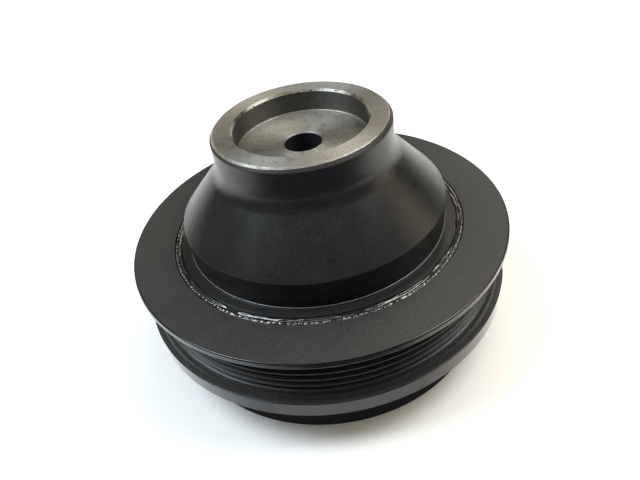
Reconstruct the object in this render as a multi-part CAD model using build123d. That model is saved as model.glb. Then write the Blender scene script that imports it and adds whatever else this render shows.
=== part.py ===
"""A harmonic balancer with a ribbed belt track, in three pieces.

Units are millimetres. Z is up along the crankshaft axis, and z 0 is the plane of the foot that
the balancer stands on. The nose that takes the crankshaft bolt points up.
"""

import os
from math import cos, radians, sin, tan

from build123d import *

# The two sizes that the rest is built out from: the hub's rim, and the flange's front face
HUB_RIM_RADIUS = 64.0
FLANGE_TOP = 56.2

# Rubber between the hub rim and the ring
RUBBER_THICKNESS = 4.0
RUBBER_RECESS = 0.5
FLASH_OFFSET = 2.1
FLASH_RADIUS = 0.9

# Inertia ring, from its bore outwards
FOOT_WALL = 7.0
TRACK_RISE = 6.7
SHOULDER_WIDTH = 1.4
REAR_GUIDE_WIDTH = 3.0
FLANGE_OVERHANG = 1.4

# Inertia ring, from the flange's front face down
FLANGE_RIM_HEIGHT = 2.8
FLANGE_BACK_DEPTH = 4.2
FRONT_LAND = 2.2
REAR_LAND = 1.0
REAR_GUIDE_DROP = 1.4
REAR_GUIDE_LAND = 2.1
REAR_GUIDE_RIM_HEIGHT = 7.3

# Belt grooves
GROOVE_COUNT = 5
GROOVE_PITCH = 3.56
GROOVE_INCLUDED_ANGLE = 40.0
CREST_FLAT = 0.7
ROOT_FLAT = 0.6

# Edges of the inertia ring
RIM_EDGE_BREAK = 0.35
BORE_EDGE_CHAMFER = 0.3
FOOT_CHAMFER = 0.5
FOOT_FILLET = 0.8

# Hub: rim and the step up to the cone
HUB_LEDGE_WIDTH = 4.0
HUB_RIM_RISE = 0.4
HUB_RIM_BOTTOM = 18.2
HUB_RIM_BREAK = 0.5
STEP_RISE = 13.8
STEP_FILLET = 1.2
STEP_EDGE_RADIUS = 0.6

# Hub: cone, neck and nose
CONE_ANGLE = 41.7
NECK_RADIUS = 39.1
NECK_LENGTH = 15.54
NECK_FILLET = 13.0
NOSE_EDGE_RADIUS = 2.4

# Hub: bolt seat in the nose
NOSE_WALL = 10.05
SEAT_DEPTH = 10.3
SEAT_CHAMFER = 1.15
SEAT_FILLET = 0.8
BOLT_HOLE_RADIUS = 8.25
BOLT_HOLE_CHAMFER = 0.5
SEAT_WEB = 14.5

# Hub: boss that slides over the crankshaft
CRANK_BORE_RADIUS = 18.0
CRANK_BORE_CHAMFER = 1.0
BOSS_WALL = 14.0
BOSS_BOTTOM = 4.0
BOSS_EDGE_CHAMFER = 1.0
KEYWAY_WIDTH = 10.0
KEYWAY_DEPTH = 3.3

# Hub: cast pocket behind the cone
RIM_WALL = 10.0
CONE_WALL = 13.0
POCKET_DRAFT = 2.0
POCKET_APEX_FILLET = 3.0
POCKET_SIDE_FILLET = 6.0


def turned(corners):
    """Return the solid swept about Z by a closed outline of (radius, height, corner fillet)."""
    points = [(radius, height) for radius, height, _ in corners]
    fillets = [fillet for _, _, fillet in corners]
    outline = Plane.XZ * FilletPolyline(*points, radius=fillets, close=True)
    return revolve(make_face(outline), Axis.Z, 360)


def hub():
    """Return the cast hub: rim, cone, nose with its bolt seat, and the keyed crankshaft boss."""
    cone_slope = tan(radians(CONE_ANGLE))
    rim_top = FLANGE_TOP + HUB_RIM_RISE
    step_radius = HUB_RIM_RADIUS - HUB_LEDGE_WIDTH
    step_top = FLANGE_TOP + STEP_RISE
    neck_corner = step_top + (step_radius - NECK_RADIUS) / cone_slope
    nose_top = neck_corner + NECK_LENGTH
    seat_radius = NECK_RADIUS - NOSE_WALL
    seat_floor = nose_top - SEAT_DEPTH
    bore_end = seat_floor - SEAT_WEB
    boss_radius = CRANK_BORE_RADIUS + BOSS_WALL

    # The pocket's roof runs parallel to the outside of the cone, and its side has draft
    roof_radius = step_radius - CONE_WALL * cos(radians(CONE_ANGLE))
    roof_height = step_top - CONE_WALL * sin(radians(CONE_ANGLE))
    apex_height = roof_height + (roof_radius - boss_radius) / cone_slope
    mouth_radius = HUB_RIM_RADIUS - RIM_WALL
    side_slope = tan(radians(POCKET_DRAFT))
    side_climb = roof_height - HUB_RIM_BOTTOM + (roof_radius - mouth_radius) / cone_slope
    side_climb /= 1 - side_slope / cone_slope

    body = turned([
        (CRANK_BORE_RADIUS, BOSS_BOTTOM + CRANK_BORE_CHAMFER, 0),
        (CRANK_BORE_RADIUS + CRANK_BORE_CHAMFER, BOSS_BOTTOM, 0),
        (boss_radius - BOSS_EDGE_CHAMFER, BOSS_BOTTOM, 0),
        (boss_radius, BOSS_BOTTOM + BOSS_EDGE_CHAMFER, 0),
        (boss_radius, apex_height, POCKET_APEX_FILLET),
        (mouth_radius - side_climb * side_slope, HUB_RIM_BOTTOM + side_climb, POCKET_SIDE_FILLET),
        (mouth_radius, HUB_RIM_BOTTOM, 0),
        (HUB_RIM_RADIUS - HUB_RIM_BREAK, HUB_RIM_BOTTOM, 0),
        (HUB_RIM_RADIUS, HUB_RIM_BOTTOM + HUB_RIM_BREAK, 0),
        (HUB_RIM_RADIUS, rim_top, HUB_RIM_BREAK),
        (step_radius, rim_top, STEP_FILLET),
        (step_radius, step_top, STEP_EDGE_RADIUS),
        (NECK_RADIUS, neck_corner, NECK_FILLET),
        (NECK_RADIUS, nose_top, NOSE_EDGE_RADIUS),
        (seat_radius + SEAT_CHAMFER, nose_top, 0),
        (seat_radius, nose_top - SEAT_CHAMFER, 0),
        (seat_radius, seat_floor, SEAT_FILLET),
        (BOLT_HOLE_RADIUS + BOLT_HOLE_CHAMFER, seat_floor, 0),
        (BOLT_HOLE_RADIUS, seat_floor - BOLT_HOLE_CHAMFER, 0),
        (BOLT_HOLE_RADIUS, bore_end, 0),
        (CRANK_BORE_RADIUS, bore_end, 0),
    ])
    return body - keyway(bore_end)


def keyway(top):
    """Return the tool that broaches the keyway from the boss's end up to the height given."""
    reach = CRANK_BORE_RADIUS + KEYWAY_DEPTH
    block = Box(
        reach, KEYWAY_WIDTH, top - BOSS_BOTTOM, align=(Align.MIN, Align.CENTER, Align.MIN)
    )
    return Pos(0, 0, BOSS_BOTTOM) * block


def rubber_ring():
    """Return the rubber ring, with the bead squeezed out of its front edge."""
    inner = HUB_RIM_RADIUS
    outer = HUB_RIM_RADIUS + RUBBER_THICKNESS
    top = FLANGE_TOP - RUBBER_RECESS
    bottom = HUB_RIM_BOTTOM + HUB_RIM_BREAK
    sleeve = turned([(inner, bottom, 0), (outer, bottom, 0), (outer, top, 0), (inner, top, 0)])
    bead = Pos(0, 0, top) * Torus(inner + FLASH_OFFSET, FLASH_RADIUS)
    return sleeve + bead


def inertia_ring():
    """Return the ring, turned in one piece: flange, belt track, rear guide and foot drum."""
    bore = HUB_RIM_RADIUS + RUBBER_THICKNESS
    foot = bore + FOOT_WALL
    track = foot + TRACK_RISE
    shoulder = track + SHOULDER_WIDTH
    rear_guide = shoulder + REAR_GUIDE_WIDTH
    flange = rear_guide + FLANGE_OVERHANG

    front_shoulder = FLANGE_TOP - FLANGE_BACK_DEPTH
    grooves = belt_grooves(track, front_shoulder - FRONT_LAND)
    rear_shoulder = grooves[0][1] - REAR_LAND
    guide_top = rear_shoulder - REAR_GUIDE_DROP
    guide_bottom = guide_top - REAR_GUIDE_RIM_HEIGHT
    return turned([
        (bore + BORE_EDGE_CHAMFER, 0, 0),
        (foot - FOOT_CHAMFER, 0, 0),
        (foot, FOOT_CHAMFER, 0),
        (foot, guide_bottom, FOOT_FILLET),
        (rear_guide, guide_bottom, RIM_EDGE_BREAK),
        (rear_guide, guide_top, RIM_EDGE_BREAK),
        (rear_guide - REAR_GUIDE_LAND, guide_top, 0),
        (shoulder, rear_shoulder, 0),
        (track, rear_shoulder, 0),
        *grooves,
        (track, front_shoulder, 0),
        (shoulder, front_shoulder, 0),
        (flange, FLANGE_TOP - FLANGE_RIM_HEIGHT, RIM_EDGE_BREAK),
        (flange, FLANGE_TOP, RIM_EDGE_BREAK),
        (bore + BORE_EDGE_CHAMFER, FLANGE_TOP, 0),
        (bore, FLANGE_TOP - BORE_EDGE_CHAMFER, 0),
        (bore, BORE_EDGE_CHAMFER, 0),
    ])


def belt_grooves(crest_radius, top):
    """Return the outline of the belt grooves, from the rear up to the height given."""
    opening = GROOVE_PITCH - CREST_FLAT
    flank_width = (opening - ROOT_FLAT) / 2
    root_radius = crest_radius - flank_width / tan(radians(GROOVE_INCLUDED_ANGLE / 2))
    corners = []
    for number in reversed(range(GROOVE_COUNT)):
        groove_top = top - number * GROOVE_PITCH
        groove_bottom = groove_top - opening
        corners += [
            (crest_radius, groove_bottom, 0),
            (root_radius, groove_bottom + flank_width, 0),
            (root_radius, groove_top - flank_width, 0),
            (crest_radius, groove_top, 0),
        ]
    return corners


def main():
    """Write each piece's STEP file into the parts folder."""
    os.makedirs("parts", exist_ok=True)
    export_step(hub(), "parts/hub.step")
    export_step(rubber_ring(), "parts/rubber_ring.step")
    export_step(inertia_ring(), "parts/inertia_ring.step")


if __name__ == "__main__":
    main()
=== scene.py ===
"""The looks of a harmonic balancer: a hub, a rubber ring and an inertia ring on one axis.

Every piece is a closed surface turned about Z. The pieces' sizes are in millimetres, from the
plane that the balancer stands on, and become metres where a mesh is made. The studio's are in
metres.
"""

import logging
import math
from collections.abc import Sequence
from dataclasses import dataclass
from enum import Enum

import bpy
import numpy as np
from mathutils import Matrix, Vector

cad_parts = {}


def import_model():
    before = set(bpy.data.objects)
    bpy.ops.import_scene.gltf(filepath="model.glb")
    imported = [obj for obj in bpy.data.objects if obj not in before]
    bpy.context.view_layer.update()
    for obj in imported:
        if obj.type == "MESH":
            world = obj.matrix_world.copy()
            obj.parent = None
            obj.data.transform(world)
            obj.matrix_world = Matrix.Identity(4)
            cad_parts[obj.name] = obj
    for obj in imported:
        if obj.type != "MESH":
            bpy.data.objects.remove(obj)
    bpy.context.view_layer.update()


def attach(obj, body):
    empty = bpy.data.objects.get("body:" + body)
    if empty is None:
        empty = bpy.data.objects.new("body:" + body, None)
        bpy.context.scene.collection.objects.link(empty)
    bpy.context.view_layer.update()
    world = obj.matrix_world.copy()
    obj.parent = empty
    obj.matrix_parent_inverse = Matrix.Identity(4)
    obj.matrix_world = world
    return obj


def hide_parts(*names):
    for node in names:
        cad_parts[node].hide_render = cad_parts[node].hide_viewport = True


METRES_PER_MM = 0.001
SHARP_ANGLE = math.radians(32)

# Rows closer than this are one row, and numbers closer than the rounding are equal
SAME_PLACE_MM = 1e-5
ROUNDING = 1e-6

# The part of a noise that most of its values lie in, for a fine grain and for broad clouds
NOISE_SPAN = (0.3, 0.7)
CLOUD_SPAN = (0.35, 0.7)

# How many standard deviations a wandering curve's reach of one stands for
WANDER_SPREAD = 2.4

Rgb = tuple[float, float, float]
Rgba = tuple[float, float, float, float]
Socket = bpy.types.NodeSocket

log = logging.getLogger("balancer")


class Finish(Enum):
    """The finishes that a turned face can have.

    PAINT is a piece's own paint, or its rubber. FACE is the flange's front face and TRACK the belt
    track. NOSE, BARE, DARK_WALL, EDGE and WORN are the steel of the nose's face, the seat's floor,
    the seat's wall, the seat's edge and the small worn edges. BORE is the bolt hole's wall and
    STEP the wall of the hub's step.
    """

    PAINT = 0
    # FACE and TRACK carry lighter copies of the ring's paint: painted light.
    FACE = 1
    TRACK = 2
    NOSE = 3
    BARE = 4
    DARK_WALL = 5
    EDGE = 6
    WORN = 7
    BORE = 8
    STEP = 9


class Slot(Enum):
    """The record's material slots."""

    HUB = "hub_paint"
    RING = "ring_paint"
    RUBBER = "rubber"


@dataclass(frozen=True)
class Corner:
    """One corner of a closed outline, and the finish of the face that follows it."""

    radius: float
    height: float
    fillet: float = 0.0
    finish: Finish = Finish.PAINT


@dataclass(frozen=True)
class TurnedOutline:
    """A closed outline that is turned about Z.

    Its corners run with the material on the left, so that the faces point outwards. Each rounded
    corner is an arc of arc_steps faces, with a guard row up to the guard's length off its ends.
    """

    corners: Sequence[Corner]
    arc_steps: int
    guard: float

    def rows(self) -> tuple[np.ndarray, np.ndarray]:
        """Walk the outline with its corners rounded.

        An arc starts one tangent length before its corner: the fillet times the tangent of half
        the turn. A point at a share of the turn lies the fillet times the sine of the angle so far
        along the way in, and the fillet times one less its cosine across it. A guard row on each
        side of an arc keeps the flat face beside it flat in shading, and takes a third of that
        face at most.

        Returns:
            The (radius, height) of each row, and the finish number of the face after it.
        """
        place = np.array([(c.radius, c.height) for c in self.corners])
        fillet = np.array([c.fillet for c in self.corners])
        finish = np.array([c.finish.value for c in self.corners])
        side = place - np.roll(place, 1, axis=0)
        length = np.linalg.norm(side, axis=1)
        way_in = side / length[:, None]
        way_out = np.roll(way_in, -1, axis=0)
        cross = way_in[:, 0] * way_out[:, 1] - way_in[:, 1] * way_out[:, 0]
        turn = np.arctan2(cross, (way_in * way_out).sum(axis=1))
        tangent = fillet * np.tan(np.abs(turn) / 2)
        free_before = length - tangent - np.roll(tangent, 1)
        free_after = np.roll(free_before, -1)
        rounded = fillet > 0
        guard_before = np.where(rounded, np.minimum(self.guard, free_before / 3), 0)
        guard_after = np.where(rounded, np.minimum(self.guard, free_after / 3), 0)

        swept = np.abs(turn)[:, None] * np.linspace(0, 1, self.arc_steps + 1)
        across = np.stack((-way_in[:, 1], way_in[:, 0]), axis=1) * np.sign(turn)[:, None]
        along = np.sin(swept)[..., None] * way_in[:, None]
        aside = (1 - np.cos(swept))[..., None] * across[:, None]
        start = place - way_in * tangent[:, None]
        arcs = start[:, None] + fillet[:, None, None] * (along + aside)
        before = arcs[:, :1] - (way_in * guard_before[:, None])[:, None]
        after = arcs[:, -1:] + (way_out * guard_after[:, None])[:, None]
        rows = np.concatenate((before, arcs, after), axis=1).reshape(-1, 2)
        face = np.repeat(finish, len(rows) // len(finish))
        apart = np.linalg.norm(rows - np.roll(rows, -1, axis=0), axis=1) > SAME_PLACE_MM
        return rows[apart], face[apart]


def even_angles(steps: int) -> np.ndarray:
    """Return evenly spaced angles for one turn round the axis, in radians."""
    return np.linspace(-math.pi, math.pi, steps, endpoint=False)


def turn_about_z(radius: np.ndarray, height: np.ndarray, angle: np.ndarray) -> np.ndarray:
    """Place a grid of radii and heights round the axis.

    A point is (radius cosine angle, radius sine angle, height), made metres.

    Args:
        radius: Radii in mm, one row for each angle.
        height: Heights in mm, one row for each angle.
        angle: Angles in radians.

    Returns:
        Points in metres, indexed by angle and then by place on the outline.
    """
    east = radius * np.cos(angle)[:, None]
    north = radius * np.sin(angle)[:, None]
    return np.stack((east, north, height), axis=-1) * METRES_PER_MM


def new_object(name: str, data: bpy.types.ID) -> bpy.types.Object:
    """Put a mesh, light or camera into the scene under a name."""
    made = bpy.data.objects.new(name, data)
    bpy.context.scene.collection.objects.link(made)
    return made


def flat_sheet(name: str, corners: Sequence[tuple[float, float]], height: float
               ) -> bpy.types.Object:
    """Lay one flat face.

    Args:
        name: The sheet's name.
        corners: Its corners in metres, one after another round its edge.
        height: Its height in metres.

    Returns:
        The sheet.
    """
    mesh = bpy.data.meshes.new(name)
    mesh.from_pydata([(x, y, height) for x, y in corners], [], [tuple(range(len(corners)))])
    return new_object(name, mesh)


def closed_ring_mesh(name: str, points: np.ndarray, face_finish: np.ndarray,
                     finishes: dict[Finish, bpy.types.Material]) -> bpy.types.Object:
    """Join a grid that closes on itself both ways into one mesh of quads.

    The quad at (i, j) joins points (i, j), (i + 1, j), (i + 1, j + 1) and (i, j + 1), where both
    counts wrap round.

    Args:
        name: The piece's name.
        points: Points in metres, indexed by angle and then by place on the outline.
        face_finish: The finish number of each place on the outline.
        finishes: The material of each finish that the piece has.

    Returns:
        The piece, with its place in its mesh.
    """
    slot_of = np.zeros(len(Finish), dtype=np.int32)
    slot_of[[finish.value for finish in finishes]] = np.arange(len(finishes))
    turns, places = points.shape[:2]
    number = np.arange(turns * places, dtype=np.int32).reshape(turns, places)
    beside = np.roll(number, -1, axis=0)
    quads = np.stack(
        (number, beside, np.roll(beside, -1, axis=1), np.roll(number, -1, axis=1)), axis=-1
    ).reshape(-1, 4)
    mesh = bpy.data.meshes.new(name)
    mesh.vertices.add(turns * places)
    mesh.vertices.foreach_set("co", points.reshape(-1).astype(np.float32))
    mesh.loops.add(quads.size)
    mesh.loops.foreach_set("vertex_index", quads.reshape(-1))
    mesh.polygons.add(len(quads))
    mesh.polygons.foreach_set("loop_start", np.arange(0, quads.size, 4, dtype=np.int32))
    for material in finishes.values():
        mesh.materials.append(material)
    mesh.polygons.foreach_set("material_index", np.tile(slot_of[face_finish], turns))
    mesh.update(calc_edges=True)
    mesh.polygons.foreach_set("use_smooth", np.ones(len(quads), dtype=bool))
    mesh.set_sharp_from_angle(angle=SHARP_ANGLE)
    return new_object(name, mesh)


def stand_in(piece: bpy.types.Object, node: str) -> None:
    """Let a piece stand for its node of the frame."""
    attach(piece, "root")
    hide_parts(node)
    log.info("%s: %d faces", piece.name, len(piece.data.polygons))


class NodePen:
    """Writes shader nodes into one material."""

    def __init__(self, name: str) -> None:
        """Start a material with a plain Principled shader."""
        self.material = bpy.data.materials.new(name)
        self.material.use_nodes = True
        self.tree = self.material.node_tree
        self.shader = self.tree.nodes["Principled BSDF"]

    def add(self, kind: str, links: dict | None = None, **settings: object) -> bpy.types.Node:
        """Add a node.

        Args:
            kind: The node's type name, without its ShaderNode prefix.
            links: For each input, a number, a colour or the socket that feeds it.
            settings: The node's own options.

        Returns:
            The new node.
        """
        node = self.tree.nodes.new(f"ShaderNode{kind}")
        for option, value in settings.items():
            setattr(node, option, value)
        for key, source in (links or {}).items():
            self.feed(node.inputs[key], source)
        return node

    def feed(self, socket: Socket, source: object) -> None:
        """Link a socket to another, or give it a value."""
        if isinstance(source, Socket):
            self.tree.links.new(source, socket)
        else:
            socket.default_value = source

    def shade(self, inputs: dict[str, object]) -> None:
        """Set inputs of the Principled shader, each to a value or to the socket that feeds it."""
        for name, source in inputs.items():
            self.feed(self.shader.inputs[name], source)

    def place(self) -> Socket:
        """Return the piece's own coordinates, in metres."""
        return self.add("TexCoord").outputs["Object"]

    def split(self, place: Socket) -> tuple[Socket, Socket, Socket]:
        """Return the X, Y and Z of coordinates."""
        parts = self.add("SeparateXYZ", {"Vector": place}).outputs
        return parts["X"], parts["Y"], parts["Z"]

    def noise(self, place: Socket, cell_mm: float, detail: float = 3.0, rough: float = 0.55
              ) -> Socket:
        """Return a noise with features of about the given size.

        Args:
            place: The coordinates.
            cell_mm: The size of a feature.
            detail: How many finer layers are added.
            rough: The strength of the finer layers.

        Returns:
            The noise, about 0.2 to 0.8.
        """
        links = {"Vector": place, "Scale": 1 / (cell_mm * METRES_PER_MM), "Detail": detail,
                 "Roughness": rough}
        return self.add("TexNoise", links).outputs["Fac"]

    def spread(self, value: Socket, low: float, high: float, to_low: float = 0.0,
               to_high: float = 1.0) -> Socket:
        """Return a value carried from one range to another, and held inside it."""
        links = {"Value": value, "From Min": low, "From Max": high, "To Min": to_low,
                 "To Max": to_high}
        return self.add("MapRange", links).outputs["Result"]

    def sum(self, value: object, times: object, plus: object) -> Socket:
        """Return a value times another, plus a third."""
        return self.add("Math", {0: value, 1: times, 2: plus}, operation="MULTIPLY_ADD").outputs[0]

    def between(self, share: object, first: object, second: object) -> Socket:
        """Return a number between two others."""
        node = self.add("Mix", {0: share}, data_type="FLOAT")
        self.feed(node.inputs[2], first)
        self.feed(node.inputs[3], second)
        return node.outputs[0]

    def mix(self, share: object, first: object, second: object) -> Socket:
        """Return a colour between two others."""
        node = self.add("Mix", data_type="RGBA")
        self.feed(node.inputs[0], share)
        self.feed(node.inputs[6], first)
        self.feed(node.inputs[7], second)
        return node.outputs[2]

    def bump(self, height: Socket, depth_mm: float) -> Socket:
        """Return a normal that follows a height of 0 to 1, as a relief of the given depth."""
        links = {"Height": height, "Distance": depth_mm * METRES_PER_MM}
        return self.add("Bump", links).outputs["Normal"]


def grey(value: float, tint: Rgb = (1.0, 1.0, 1.0)) -> Rgba:
    """Return a linear grey, with its red, green and blue times the tint's."""
    return (value * tint[0], value * tint[1], value * tint[2], 1.0)


@dataclass(frozen=True)
class SatinPaint:
    """Black satin paint with a fine grain, whose tone and roughness vary a little."""

    name: str
    tone: float
    roughness: float
    grain_mm: float = 1.0
    grain_depth_mm: float = 0.02
    shine: float = 0.5
    mottle: float = 0.5
    cloud_mm: float = 9.0
    smoother: float = 0.03
    duller: float = 0.04

    def material(self) -> bpy.types.Material:
        """Return the paint: its tone and low bumps follow the grain, its roughness the clouds."""
        pen = NodePen(self.name)
        place = pen.place()
        cloud = pen.noise(place, self.cloud_mm, detail=2.0)
        grain = pen.noise(place, self.grain_mm, detail=3.0, rough=0.7)
        dark, light = self.tone * (1 - self.mottle), self.tone * (1 + self.mottle)
        smooth, dull = self.roughness - self.smoother, self.roughness + self.duller
        pen.shade({
            "Base Color": pen.mix(pen.spread(grain, *NOISE_SPAN), grey(dark), grey(light)),
            "Roughness": pen.spread(cloud, *NOISE_SPAN, smooth, dull),
            "Normal": pen.bump(grain, self.grain_depth_mm),
            "Specular IOR Level": self.shine,
        })
        return pen.material


@dataclass(frozen=True)
class PaintLine:
    """The ragged line on the nose's edge where the neck's paint ends, in mm."""

    height: float
    rise_per_mm: float = 0.0092
    wander: float = 0.35
    ragged: float = 2.5
    softness: float = 0.05

    def covered(self, pen: NodePen, place: Socket) -> Socket:
        """Return 1 under the line and 0 over it, where the line rises towards +X."""
        east, _, up = pen.split(place)
        ragged = pen.noise(place, self.ragged, detail=3.0)
        sloped = pen.sum(east, -self.rise_per_mm, up)
        level = pen.sum(ragged, self.wander * METRES_PER_MM, sloped)
        middle = (self.height + self.wander / 2) * METRES_PER_MM
        soft = self.softness * METRES_PER_MM
        return pen.spread(level, middle - soft, middle + soft, 1.0, 0.0)


@dataclass(frozen=True)
class TurnedSteel:
    """Bare steel with the fine rings that a lathe leaves, and grit, stains, specks and nicks.

    A mark's span is the part of its noise over which it comes in, and its most is its full share
    of the colour.
    """

    name: str
    tone: float
    tint: Rgb = (1.04, 1.0, 0.91)
    roughness: float = 0.48
    smoother: float = 0.04
    duller: float = 0.12
    grain: float = 0.75
    quarter_turn: float = 0.25
    ring_mm: float = 0.32
    ring_depth_mm: float = 0.006
    ring_contrast: float = 0.12
    grit: float = 0.3
    grit_mm: float = 0.5
    grit_tone: float = 0.1
    grit_span: tuple[float, float] = (0.3, 0.75)
    stain_mm: float = 4.0
    stain_tone: float = 0.2
    stain_span: tuple[float, float] = (0.5, 0.7)
    stain_most: float = 0.7
    speck_mm: float = 0.8
    speck_tone: float = 0.04
    speck_span: tuple[float, float] = (0.65, 0.72)
    speck_most: float = 0.55
    nicks: float = 0.0
    nick_mm: float = 1.3
    nick_tone: float = 0.015
    nick_span: tuple[float, float] = (0.66, 0.7)
    paint: Rgba = (0.014, 0.0115, 0.0095, 1.0)
    paint_roughness: float = 0.6
    paint_line: PaintLine | None = None

    def rings(self, pen: NodePen, place: Socket) -> Socket:
        """Return the turned rings: a noise along the distance from the axis."""
        east, north, _ = pen.split(place)
        flat = pen.add("CombineXYZ", {"X": east, "Y": north}).outputs["Vector"]
        reach = pen.add("VectorMath", {0: flat}, operation="LENGTH").outputs["Value"]
        links = {"W": reach, "Scale": 1 / (self.ring_mm * METRES_PER_MM), "Detail": 2.0}
        return pen.add("TexNoise", links, noise_dimensions="1D").outputs["Fac"]

    def colour(self, pen: NodePen, place: Socket, rings: Socket, cloud: Socket) -> Socket:
        """Lay the marks over the turned steel, one on another.

        Args:
            pen: The material's pen.
            place: The piece's coordinates.
            rings: The turned rings.
            cloud: The noise that the stains follow.

        Returns:
            The colour of the steel without its paint.
        """
        dark = grey(self.tone * (1 - self.ring_contrast), self.tint)
        light = grey(self.tone * (1 + self.ring_contrast), self.tint)
        grit = pen.noise(place, self.grit_mm, detail=1.0)
        grit = pen.spread(grit, *self.grit_span, 0.0, self.grit)
        stain = pen.spread(cloud, *self.stain_span, 0.0, self.stain_most)
        speck = pen.noise(place, self.speck_mm, detail=2.0)
        speck = pen.spread(speck, *self.speck_span, 0.0, self.speck_most)
        colour = pen.mix(pen.spread(rings, *NOISE_SPAN), dark, light)
        colour = pen.mix(grit, colour, grey(self.grit_tone, self.tint))
        colour = pen.mix(stain, colour, grey(self.stain_tone, self.tint))
        colour = pen.mix(speck, colour, grey(self.speck_tone, self.tint))
        if self.nicks:
            low, high = (edge - self.nicks for edge in self.nick_span)
            nick = pen.spread(pen.noise(place, self.nick_mm, detail=2.0), low, high)
            colour = pen.mix(nick, colour, grey(self.nick_tone))
        return colour

    def material(self) -> bpy.types.Material:
        """Return the steel, with paint up to its line where it has one."""
        pen = NodePen(self.name)
        place = pen.place()
        rings = self.rings(pen, place)
        cloud = pen.noise(place, self.stain_mm, detail=4.0, rough=0.65)
        colour = self.colour(pen, place, rings, cloud)
        smooth, dull = self.roughness - self.smoother, self.roughness + self.duller
        rough = pen.spread(cloud, *CLOUD_SPAN, smooth, dull)
        metal = 1.0
        if self.paint_line:
            covered = self.paint_line.covered(pen, place)
            colour = pen.mix(covered, colour, self.paint)
            rough = pen.between(covered, rough, self.paint_roughness)
            metal = pen.spread(covered, 0.0, 1.0, 1.0, 0.0)
        around = pen.add("Tangent", direction_type="RADIAL", axis="Z").outputs["Tangent"]
        pen.shade({
            "Base Color": colour,
            "Metallic": metal,
            "Roughness": rough,
            "Anisotropic": self.grain,
            "Anisotropic Rotation": self.quarter_turn,
            "Tangent": around,
            "Normal": pen.bump(rings, self.ring_depth_mm),
        })
        return pen.material


@dataclass(frozen=True)
class GlossRubber:
    """Black rubber with the shine of freshly torn flash."""

    name: str = "moulded_rubber"
    tone: float = 0.012
    roughness: float = 0.17
    cloud_mm: float = 4.0
    smoother: float = 0.03
    duller: float = 0.1
    shine: float = 1.0

    def material(self) -> bpy.types.Material:
        """Return the rubber: near black, with a shine that comes and goes."""
        pen = NodePen(self.name)
        cloud = pen.noise(pen.place(), self.cloud_mm, detail=3.0)
        smooth, dull = self.roughness - self.smoother, self.roughness + self.duller
        pen.shade({
            "Base Color": grey(self.tone),
            "Roughness": pen.spread(cloud, *CLOUD_SPAN, smooth, dull),
            "Specular IOR Level": self.shine,
        })
        return pen.material


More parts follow.
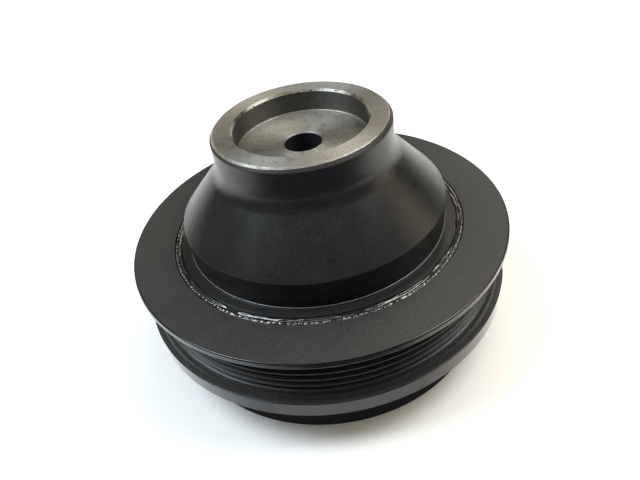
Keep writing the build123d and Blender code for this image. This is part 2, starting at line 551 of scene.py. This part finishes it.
@dataclass(frozen=True)
class Hub:
    """The cast hub: rim, step, cone and nose in front, keyed boss and pocket behind."""

    flange_top: float = 56.2
    rim_radius: float = 64.0
    rim_top: float = 56.6
    rim_bottom: float = 18.2
    rim_break: float = 0.5
    front_break: float = 0.08
    step_foot: float = 59.6
    step_radius: float = 60.0
    step_top: float = 70.0
    collar_radius: float = 60.0
    collar_rise: float = 1.25
    collar_edge: float = 0.25
    crease: float = 0.1
    step_edge: float = 0.3
    cone_angle: float = 41.7
    neck_radius: float = 39.1
    neck_length: float = 15.54
    neck_fillet: float = 13.0
    nose_chamfer: float = 1.7
    nose_edge: float = 0.32
    nose_shoulder: float = 0.5
    bare_edge: float = 0.56
    seat_radius: float = 29.05
    seat_depth: float = 10.3
    seat_chamfer: float = 0.95
    seat_fillet: float = 0.4
    bolt_radius: float = 8.25
    bolt_chamfer: float = 0.5
    seat_web: float = 14.5
    boss_radius: float = 32.0
    boss_bottom: float = 4.0
    boss_chamfer: float = 1.0
    crank_radius: float = 18.0
    key_width: float = 10.0
    key_depth: float = 3.3
    pocket_mouth: float = 54.0
    pocket_draft: float = 2.0
    cone_wall: float = 13.0
    apex_fillet: float = 3.0
    side_fillet: float = 6.0
    arc_steps: int = 10
    guard: float = 0.12
    turn_steps: int = 480
    key_clearance: float = 0.004

    def nose_top(self) -> float:
        """Return the height of the nose's face: the cone's rise and the neck over the step."""
        slope = math.tan(math.radians(self.cone_angle))
        return self.step_top + (self.step_radius - self.neck_radius) / slope + self.neck_length

    def outline(self) -> TurnedOutline:
        """Return the hub's outline, from the boss's end round the pocket and back down the bore.

        The pocket's roof runs parallel to the cone, at the cone's wall from it, and its side
        leans in with the draft up to the roof.
        """
        lean = math.radians(self.cone_angle)
        slope = math.tan(lean)
        nose_top = self.nose_top()
        neck_corner = nose_top - self.neck_length
        collar_top = self.flange_top + self.collar_rise
        seat_floor = nose_top - self.seat_depth
        bore_end = seat_floor - self.seat_web
        roof_radius = self.step_radius - self.cone_wall * math.cos(lean)
        roof_height = self.step_top - self.cone_wall * math.sin(lean)
        apex = roof_height + (roof_radius - self.boss_radius) / slope
        draft = math.tan(math.radians(self.pocket_draft))
        climb = roof_height - self.rim_bottom + (roof_radius - self.pocket_mouth) / slope
        climb /= 1 - draft / slope
        nose, worn, bore = Finish.NOSE, Finish.WORN, Finish.BORE
        return TurnedOutline((
            Corner(self.crank_radius, self.boss_bottom + self.boss_chamfer),
            Corner(self.crank_radius + self.boss_chamfer, self.boss_bottom),
            Corner(self.boss_radius - self.boss_chamfer, self.boss_bottom),
            Corner(self.boss_radius, self.boss_bottom + self.boss_chamfer),
            Corner(self.boss_radius, apex, self.apex_fillet),
            Corner(self.pocket_mouth - climb * draft, self.rim_bottom + climb, self.side_fillet),
            Corner(self.pocket_mouth, self.rim_bottom),
            Corner(self.rim_radius - self.rim_break, self.rim_bottom),
            Corner(self.rim_radius, self.rim_bottom + self.rim_break),
            Corner(self.rim_radius, self.rim_top, self.front_break),
            Corner(self.collar_radius, self.rim_top, self.crease),
            Corner(self.collar_radius, collar_top, self.collar_edge, worn),
            Corner(self.step_foot, collar_top, self.crease, Finish.STEP),
            Corner(self.step_radius, self.step_top, self.step_edge),
            Corner(self.neck_radius, neck_corner, self.neck_fillet),
            Corner(self.neck_radius, nose_top - self.nose_chamfer, self.nose_shoulder, nose),
            Corner(self.neck_radius - self.nose_chamfer, nose_top, self.nose_edge, nose),
            Corner(self.seat_radius + self.seat_chamfer, nose_top, 0.0, Finish.EDGE),
            Corner(self.seat_radius, nose_top - self.seat_chamfer, 0.0, Finish.DARK_WALL),
            Corner(self.seat_radius, seat_floor, self.seat_fillet, Finish.BARE),
            Corner(self.bolt_radius + self.bolt_chamfer, seat_floor, 0.0, worn),
            Corner(self.bolt_radius, seat_floor - self.bolt_chamfer, 0.0, bore),
            Corner(self.bolt_radius, bore_end, 0.0, bore),
            Corner(self.crank_radius, bore_end, 0.0, bore),
        ), self.arc_steps, self.guard)

    def angles(self) -> np.ndarray:
        """Return the angles round the axis, with one at each corner of the keyway.

        An even angle closer to such a corner than the key clearance, in radians, is left out.
        """
        half = self.key_width / 2
        outer = math.atan2(half, self.crank_radius + self.key_depth)
        inner = math.asin(half / self.crank_radius)
        even = even_angles(self.turn_steps)
        gap = np.minimum(np.abs(np.abs(even) - outer), np.abs(np.abs(even) - inner))
        clear = even[gap > self.key_clearance]
        return np.sort(np.concatenate((clear, [-inner, -outer, outer, inner])))

    def broach(self, radius: np.ndarray, angle: np.ndarray) -> np.ndarray:
        """Cut the keyway into the bore's rows.

        From the axis the keyway reaches as far as its floor, the bore radius plus its depth over
        the cosine of the angle, or its side, half the width over the sine, whichever is nearer. A
        row of the bore lies there where that is further out than the row was.

        Args:
            radius: Radii of the rows.
            angle: Angles round the axis.

        Returns:
            Radii, one row for each angle.
        """
        floor = (self.crank_radius + self.key_depth) / np.maximum(np.cos(angle), ROUNDING)
        side = self.key_width / 2 / np.maximum(np.abs(np.sin(angle)), ROUNDING)
        reach = np.where(np.cos(angle) > 0, np.minimum(floor, side), 0)
        bore_end = self.crank_radius + self.boss_chamfer
        in_bore = (radius >= self.crank_radius - ROUNDING) & (radius <= bore_end + ROUNDING)
        cut = np.maximum(radius[None, :], reach[:, None])
        return np.where(in_bore[None, :], cut, radius[None, :])

    def build(self) -> None:
        """Make the hub and dress it."""
        rows, finish = self.outline().rows()
        angle = self.angles()
        radius = self.broach(rows[:, 0], angle)
        height = np.broadcast_to(rows[:, 1], radius.shape)
        piece = closed_ring_mesh(
            "hub_casting", turn_about_z(radius, height, angle), finish, self.finishes()
        )
        stand_in(piece, "hub")

    def finishes(self) -> dict[Finish, bpy.types.Material]:
        """Return the hub's materials: paint, and the steel that was left bare."""
        line = PaintLine(self.nose_top() - self.bare_edge)
        looks = {
            Finish.PAINT: SatinPaint("hub_satin_paint", 0.014, 0.3, grain_depth_mm=0.004),
            Finish.NOSE: TurnedSteel("nose_steel", tone=0.42, grain=0.68, paint_line=line),
            Finish.BARE: TurnedSteel("bare_turned_steel", tone=0.46, grain=0.6, grit=0.6),
            # The seat's wall is steel of a third of the floor's tone.
            Finish.DARK_WALL: TurnedSteel("dark_wall_steel", tone=0.14, stain_tone=0.07),
            Finish.EDGE: TurnedSteel("cut_edge_steel", tone=0.12, roughness=0.27, grain=0.0,
                                     nicks=0.06),
            Finish.WORN: TurnedSteel("worn_collar_edge", tone=0.22, tint=(1.0, 1.0, 1.04),
                                     grain=0.0),
            # The bores' paint is near black and rough.
            Finish.BORE: SatinPaint("dark_bore_paint", 0.012, 0.6),
            Finish.STEP: SatinPaint("step_wall_paint", 0.01, 0.42, shine=0.22),
        }
        return {finish: look.material() for finish, look in looks.items()}


@dataclass(frozen=True)
class InertiaRing:
    """The ring: flange, belt track, rear guide and foot drum, turned in one piece."""

    flange_radius: float = 87.5
    flange_top: float = 56.2
    flange_rim: float = 2.8
    flange_back: float = 4.2
    rim_break: float = 0.35
    face_break: float = 0.6
    face_start: float = 0.66
    shoulder_radius: float = 83.1
    rear_guide_radius: float = 86.1
    rear_guide_bottom: float = 23.0
    rear_guide_rim: float = 7.3
    rear_guide_land: float = 2.1
    track_radius: float = 81.7
    groove_count: int = 5
    groove_pitch: float = 3.56
    groove_angle: float = 40.0
    crest_flat: float = 0.7
    root_flat: float = 0.6
    crest_round: float = 0.45
    root_round: float = 0.38
    front_land: float = 2.2
    rear_land: float = 1.0
    foot_radius: float = 75.0
    foot_chamfer: float = 0.5
    foot_fillet: float = 0.8
    bore_radius: float = 68.0
    bore_chamfer: float = 0.1
    arc_steps: int = 5
    guard: float = 0.1
    turn_steps: int = 400

    def grooves(self, top: float) -> list[Corner]:
        """Return the corners of the belt grooves, from the rear one up.

        Args:
            top: The height of the front groove's upper edge.

        Returns:
            Four corners for each groove: two on the crests and two at its root.
        """
        opening = self.groove_pitch - self.crest_flat
        flank = (opening - self.root_flat) / 2
        root = self.track_radius - flank / math.tan(math.radians(self.groove_angle / 2))
        corners = []
        for number in reversed(range(self.groove_count)):
            upper = top - number * self.groove_pitch
            lower = upper - opening
            corners += [
                Corner(self.track_radius, lower, self.crest_round, Finish.TRACK),
                Corner(root, lower + flank, self.root_round, Finish.TRACK),
                Corner(root, upper - flank, self.root_round, Finish.TRACK),
                Corner(self.track_radius, upper, self.crest_round, Finish.TRACK),
            ]
        return corners

    def outline(self) -> TurnedOutline:
        """Return the ring's outline, from the foot out round the belt track and down the bore."""
        front_shoulder = self.flange_top - self.flange_back
        grooves = self.grooves(front_shoulder - self.front_land)
        rear_shoulder = grooves[0].height - self.rear_land
        rear_rim_top = self.rear_guide_bottom + self.rear_guide_rim
        track = Finish.TRACK
        return TurnedOutline((
            Corner(self.bore_radius + self.bore_chamfer, 0),
            Corner(self.foot_radius - self.foot_chamfer, 0),
            Corner(self.foot_radius, self.foot_chamfer),
            Corner(self.foot_radius, self.rear_guide_bottom, self.foot_fillet),
            Corner(self.rear_guide_radius, self.rear_guide_bottom, self.rim_break),
            Corner(self.rear_guide_radius, rear_rim_top, self.rim_break),
            Corner(self.rear_guide_radius - self.rim_break, rear_rim_top, 0.0, track),
            Corner(self.rear_guide_radius - self.rear_guide_land, rear_rim_top, 0.0, track),
            Corner(self.shoulder_radius, rear_shoulder, 0.0, track),
            Corner(self.track_radius, rear_shoulder, 0.0, track),
            *grooves,
            Corner(self.track_radius, front_shoulder, 0.0, track),
            Corner(self.shoulder_radius, front_shoulder, 0.0, track),
            Corner(self.flange_radius, self.flange_top - self.flange_rim, self.rim_break),
            Corner(self.flange_radius, self.flange_top, self.face_break),
            Corner(self.flange_radius - self.face_start, self.flange_top, 0.0, Finish.FACE),
            Corner(self.bore_radius + self.bore_chamfer, self.flange_top),
            Corner(self.bore_radius, self.flange_top - self.bore_chamfer),
            Corner(self.bore_radius, self.bore_chamfer),
        ), self.arc_steps, self.guard)

    def build(self) -> None:
        """Make the ring and dress it."""
        rows, finish = self.outline().rows()
        angle = even_angles(self.turn_steps)
        shape = (len(angle), len(rows))
        radius = np.broadcast_to(rows[:, 0], shape)
        height = np.broadcast_to(rows[:, 1], shape)
        piece = closed_ring_mesh(
            "inertia_ring_turned", turn_about_z(radius, height, angle), finish, self.finishes()
        )
        stand_in(piece, "inertia_ring")

    def finishes(self) -> dict[Finish, bpy.types.Material]:
        """Return the ring's paint, which is duller and lighter on the flange's face and in the
        track: the lighter tone there is painted light.
        """
        looks = {
            Finish.PAINT: SatinPaint("ring_satin_paint", 0.007, 0.16, grain_depth_mm=0.01),
            # The face's and the track's paint are lighter copies of the ring's own: painted light.
            Finish.FACE: SatinPaint("flange_face_paint_painted_light", 0.019, 0.42),
            Finish.TRACK: SatinPaint("belt_track_paint_painted_light", 0.036, 0.34),
        }
        return {finish: look.material() for finish, look in looks.items()}


def wander(angle: np.ndarray, waves: tuple[int, int], rng: np.random.Generator) -> np.ndarray:
    """Return a smooth random curve round the axis, about -1 to 1.

    It is a sum of cosines that each close after one turn, with a random strength and phase, whose
    strength falls off with the square root of their count.

    Args:
        angle: Angles round the axis.
        waves: The lowest count of waves in a turn, and one more than the highest.
        rng: The source of chance.

    Returns:
        One value for each angle.
    """
    count = np.arange(*waves)
    strength = rng.normal(size=len(count)) / np.sqrt(count)
    phase = rng.uniform(0, 2 * math.pi, len(count))
    curve = (strength * np.cos(count * angle[:, None] + phase)).sum(axis=1)
    return curve / (WANDER_SPREAD * curve.std())


@dataclass(frozen=True)
class FlashString:
    """One string of flash along a wandering radius.

    Its middle radius, its swing and the width where its ridge has mostly fallen away are in mm.
    Uneven is how much the width varies, share and fullness are shares of the tallest string's
    height, and beading is the part of it that comes in beads. Waves are counts in one turn, from
    the lowest to one more than the highest.
    """

    middle: float
    swing: float
    width: float
    uneven: float
    share: float
    fullness: float
    beading: float
    fullness_swing: float = 0.9
    path_waves: tuple[int, int] = (5, 60)
    width_waves: tuple[int, int] = (20, 120)
    fullness_waves: tuple[int, int] = (6, 50)
    bead_waves: tuple[int, int] = (110, 280)

    def raised(self, angle: np.ndarray, radius: np.ndarray, rng: np.random.Generator
               ) -> np.ndarray:
        """Return the string's height as a share of the tallest string's.

        It is a ridge: its crest times a bell curve of the distance across it. The crest comes and
        goes over long stretches, and beads along it rise by the beading's share.

        Args:
            angle: Angles round the axis.
            radius: Radii of the top's rows.
            rng: The source of chance.

        Returns:
            Shares, indexed by angle and then by radius.
        """
        path = self.middle + self.swing * wander(angle, self.path_waves, rng)
        breadth = self.width * (1 + self.uneven * wander(angle, self.width_waves, rng))
        full = self.fullness + self.fullness_swing * wander(angle, self.fullness_waves, rng)
        beads = 1 - self.beading + self.beading * wander(angle, self.bead_waves, rng)
        crest = np.clip(full, 0, 1) * np.clip(beads, 0, None)
        across = (radius[None, :] - path[:, None]) / breadth[:, None]
        return self.share * crest[:, None] * np.exp(-across**2)


@dataclass(frozen=True)
class RubberRing:
    """The rubber between hub and ring, with strings of flash on its front edge."""

    inner_radius: float = 64.0
    outer_radius: float = 68.0
    top: float = 55.95
    bottom: float = 18.7
    string_height: float = 0.65
    strings: tuple[FlashString, ...] = (
        FlashString(65.30, 0.30, 0.48, 0.2, share=1.0, fullness=0.66, beading=0.04),
        FlashString(66.85, 0.24, 0.46, 0.3, share=0.95, fullness=0.95, beading=0.62),
    )
    edge_fade: float = 0.35
    crevice: float = 0.3
    crevice_depth: float = 1.0
    turn_steps: int = 1500
    top_rows: int = 44
    seed: int = 11

    def top_height(self, angle: np.ndarray, radius: np.ndarray) -> np.ndarray:
        """Return the height of the rubber's top.

        The strings lie on it, and where two meet, the higher one counts. They fade out towards
        the crevice, which dips along the ring's bore.

        Args:
            angle: Angles round the axis.
            radius: Radii of the top's rows.

        Returns:
            Heights in mm, indexed by angle and then by radius.
        """
        rng = np.random.default_rng(self.seed)
        raised = np.zeros((len(angle), len(radius)))
        for string in self.strings:
            raised = np.maximum(raised, string.raised(angle, radius, rng))
        edge = np.clip((self.outer_radius - self.crevice - radius) / self.edge_fade, 0, 1)
        sunk = np.clip(1 - (self.outer_radius - radius) / self.crevice, 0, 1)
        return self.top + raised * self.string_height * edge - self.crevice_depth * sunk

    def build(self) -> None:
        """Make the rubber ring and dress it."""
        angle = even_angles(self.turn_steps)
        top_radius = np.linspace(self.outer_radius, self.inner_radius, self.top_rows)
        top = self.top_height(angle, top_radius)
        ends = np.full((len(angle), 1), self.bottom)
        height = np.concatenate((ends, ends, top), axis=1)
        radius = np.concatenate(([self.inner_radius, self.outer_radius], top_radius))
        radius = np.broadcast_to(radius, height.shape)
        finish = np.full(height.shape[1], Finish.PAINT.value)
        piece = closed_ring_mesh(
            "rubber_ring_moulded", turn_about_z(radius, height, angle), finish,
            {Finish.PAINT: GlossRubber().material()},
        )
        stand_in(piece, "rubber_ring")


@dataclass(frozen=True)
class PhotoCamera:
    """The camera that took the photograph, set against the middle of the flange's front face.

    Its distance and aim are in mm, its angles in degrees and its nearest view in metres.
    """

    aim_height: float = 56.2
    distance: float = 284.73
    elevation: float = 36.1562
    pan: float = 1.4594
    tilt: float = 1.9564
    roll: float = -9.2220
    lens: float = 33.65
    sensor: float = 36.0
    shift_x: float = 0.0251
    shift_y: float = 0.0036
    nearest: float = 0.01

    def towards_aim(self) -> np.ndarray:
        """Return the direction from the camera to its aim."""
        lift = math.radians(self.elevation)
        return np.array([0, math.cos(lift), -math.sin(lift)])

    def turned(self) -> np.ndarray:
        """Return the camera's right, down and forward directions as rows.

        It first looks straight at the aim, and then pans, tilts and rolls about its own axes.
        """
        forward = self.towards_aim()
        right = np.array([1.0, 0, 0])
        down = -np.cross(right, forward)
        pan, tilt, roll = (
            Matrix.Rotation(math.radians(turn), 3, axis)
            for turn, axis in ((self.pan, "Y"), (self.tilt, "X"), (self.roll, "Z"))
        )
        return np.array(roll @ tilt @ pan) @ np.stack((right, down, forward))

    def build(self) -> None:
        """Make the camera and look through it."""
        centre = np.array([0, 0, self.aim_height]) - self.towards_aim() * self.distance
        right, down, forward = self.turned()
        data = bpy.data.cameras.new("photo_camera")
        data.lens = self.lens
        data.sensor_width = self.sensor
        data.shift_x = self.shift_x
        data.shift_y = self.shift_y
        data.clip_start = self.nearest
        camera = new_object("photo_camera", data)
        place = Matrix(np.stack((right, -down, -forward), axis=1).tolist()).to_4x4()
        place.translation = Vector(centre * METRES_PER_MM)
        camera.matrix_world = place
        bpy.context.scene.camera = camera


@dataclass(frozen=True)
class SoftBox:
    """One square studio light that faces the balancer.

    Its angles are in degrees, the azimuth from the front towards +X, and its brightness is a share
    of white: the light's power is pi times its area for each unit.
    """

    name: str
    azimuth: float
    elevation: float
    distance: float
    side: float
    brightness: float
    colour: Rgb = (1.0, 1.0, 1.0)

    def build(self) -> None:
        """Hang the light and turn it to the balancer."""
        turn, lift = math.radians(self.azimuth), math.radians(self.elevation)
        way = Vector((math.sin(turn) * math.cos(lift), -math.cos(turn) * math.cos(lift),
                      math.sin(lift)))
        data = bpy.data.lights.new(self.name, "AREA")
        data.shape = "SQUARE"
        data.size = self.side
        data.energy = self.brightness * math.pi * self.side**2
        data.color = self.colour
        lamp = new_object(self.name, data)
        lamp.location = way * self.distance
        lamp.rotation_euler = way.to_track_quat("Z", "Y").to_euler()


def front_strip(inner: float, outer: float, half_angle: float, points: int = 9
                ) -> tuple[tuple[float, float], ...]:
    """Return the corners of a curved strip round the front of the foot.

    Args:
        inner: The radius of its inner edge, in metres.
        outer: The radius of its outer edge, in metres.
        half_angle: How far it reaches to each side of the front, in degrees.
        points: How many corners each edge has.

    Returns:
        Corners in metres, out along the inner edge and back along the outer one.
    """
    angle = np.radians(np.linspace(-half_angle, half_angle, points))
    arc = list(zip(np.sin(angle).tolist(), (-np.cos(angle)).tolist()))
    near = tuple((inner * x, inner * y) for x, y in arc)
    return near + tuple((outer * x, outer * y) for x, y in reversed(arc))


@dataclass(frozen=True)
class ReflectionCard:
    """A card just over the table that only reflections see: a painted reflection, where dark cards
    paint shade and glowing cards paint light.

    Its glow grows with the distance from the YZ plane, from the weakest share at the start of the
    rise to all of it at the end.
    """

    name: str
    corners: tuple[tuple[float, float], ...]
    glow: Rgba = (0.0, 0.0, 0.0, 1.0)
    rise: tuple[float, float] = (0.0, 1.0)
    weakest: float = 0.55
    lift: float = 0.001
    tone: float = 0.02

    def build(self) -> None:
        """Lay the card and hide it from everything but reflections."""
        card = flat_sheet(self.name, self.corners, self.lift)
        pen = NodePen(f"{self.name}_card")
        east, _, _ = pen.split(pen.place())
        aside = pen.add("Math", {0: east}, operation="ABSOLUTE").outputs[0]
        pen.shade({
            "Base Color": grey(self.tone),
            "Roughness": 1.0,
            "Emission Color": self.glow,
            "Emission Strength": pen.spread(aside, *self.rise, self.weakest, 1.0),
        })
        card.data.materials.append(pen.material)
        card.visible_camera = False
        card.visible_diffuse = False
        card.visible_shadow = False


@dataclass(frozen=True)
class Studio:
    """The pale table and the soft light. No light comes from the sky.

    Cards that only reflections see paint the shade of the person at the camera into what the front
    mirrors, painted shade of the table by the foot into what the foot mirrors, and the light of a
    brighter table into what the sides mirror. The table glows a little, a painted light that lifts
    its shade, with a colour that changes from cool on the left to warm on the right over the
    glow's reach to each side.
    """

    floor_side: float = 6.0
    floor_drop: float = 0.0001
    floor_tone: float = 0.92
    floor_roughness: float = 0.9
    # Painted light: the table's glow lifts its shade, cooler on the left and warmer on the right.
    left_glow: Rgba = (0.105, 0.113, 0.122, 1.0)
    right_glow: Rgba = (0.142, 0.13, 0.085, 1.0)
    glow_reach: float = 0.07
    sky: float = 0.0
    # Painted reflections: front_shade and foot_shade paint shade, left_shine and right_shine paint
    # light.
    cards: tuple[ReflectionCard, ...] = (
        ReflectionCard("front_shade", (
            (-0.6, -0.8), (0.6, -0.8), (0.3, -0.06), (0.15, -0.09), (0.045, -0.12),
            (-0.035, -0.125), (-0.14, -0.095), (-0.3, -0.06),
        )),
        ReflectionCard("foot_shade", front_strip(0.0752, 0.084, 52.0), (0.07, 0.07, 0.075, 1.0),
                       weakest=1.0, lift=0.0003),
        ReflectionCard("left_shine", (
            (-0.08, -0.005), (-0.125, -0.005), (-0.16, -0.045), (-0.16, -0.088),
            (-0.14, -0.092), (-0.05, -0.118), (-0.039, -0.0733), (-0.0587, -0.0587),
            (-0.0719, -0.0415),
        ), (1.5, 1.6, 1.7, 1.0), (0.04, 0.085)),
        ReflectionCard("right_shine", (
            (0.08, -0.005), (0.0719, -0.0415), (0.0587, -0.0587), (0.039, -0.0733),
            (0.05, -0.116), (0.14, -0.09), (0.16, -0.086), (0.16, -0.045), (0.125, -0.005),
        ), (1.85, 1.75, 1.6, 1.0), (0.04, 0.085)),
    )
    lights: tuple[SoftBox, ...] = (
        SoftBox("left_softbox", -90.0, 57.0, 1.5, 0.7, 11.0, (0.9, 1.0, 1.08)),
        SoftBox("right_softbox", 90.0, 57.0, 1.5, 0.7, 9.6, (1.0, 1.0, 0.96)),
        SoftBox("overhead_softbox", 0.0, 78.0, 1.3, 0.8, 2.0, (1.0, 0.97, 0.9)),
        SoftBox("back_right_softbox", 150.0, 57.0, 1.5, 0.9, 1.7, (1.0, 0.93, 0.75)),
        SoftBox("low_right_softbox", 90.0, 14.0, 2.0, 0.9, 1.5, (1.0, 0.8, 0.55)),
        SoftBox("low_back_right_softbox", 150.0, 14.0, 2.0, 0.9, 2.4, (1.0, 0.93, 0.88)),
        SoftBox("low_back_left_softbox", -150.0, 14.0, 2.0, 0.9, 1.8, (1.0, 0.9, 0.75)),
        SoftBox("back_left_softbox", -120.0, 35.0, 1.8, 1.0, 0.5, (1.0, 1.0, 0.7)),
    )

    def floor(self) -> None:
        """Lay the table top."""
        half = self.floor_side / 2
        corners = ((-half, -half), (half, -half), (half, half), (-half, half))
        table = flat_sheet("table", corners, -self.floor_drop)
        pen = NodePen("pale_table")
        east, _, _ = pen.split(pen.place())
        share = pen.spread(east, -self.glow_reach, self.glow_reach)
        pen.shade({
            "Base Color": grey(self.floor_tone),
            "Roughness": self.floor_roughness,
            # Painted light that lifts the table's shade.
            "Emission Color": pen.mix(share, self.left_glow, self.right_glow),
            "Emission Strength": 1.0,
        })
        table.data.materials.append(pen.material)

    def build(self) -> None:
        """Set the table, the cards, the sky and the lights."""
        self.floor()
        for card in self.cards:
            card.build()
        world = bpy.data.worlds.new("soft_room")
        world.use_nodes = True
        backdrop = world.node_tree.nodes["Background"]
        backdrop.inputs["Color"].default_value = grey(1.0)
        backdrop.inputs["Strength"].default_value = self.sky
        bpy.context.scene.world = world
        bpy.context.scene.view_settings.view_transform = "Standard"
        for light in self.lights:
            light.build()


def main() -> None:
    """Build the balancer, its camera and its studio."""
    logging.basicConfig(level=logging.INFO, format="%(message)s")
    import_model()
    Hub().build()
    InertiaRing().build()
    RubberRing().build()
    PhotoCamera().build()
    Studio().build()


if __name__ == "__main__":
    main()
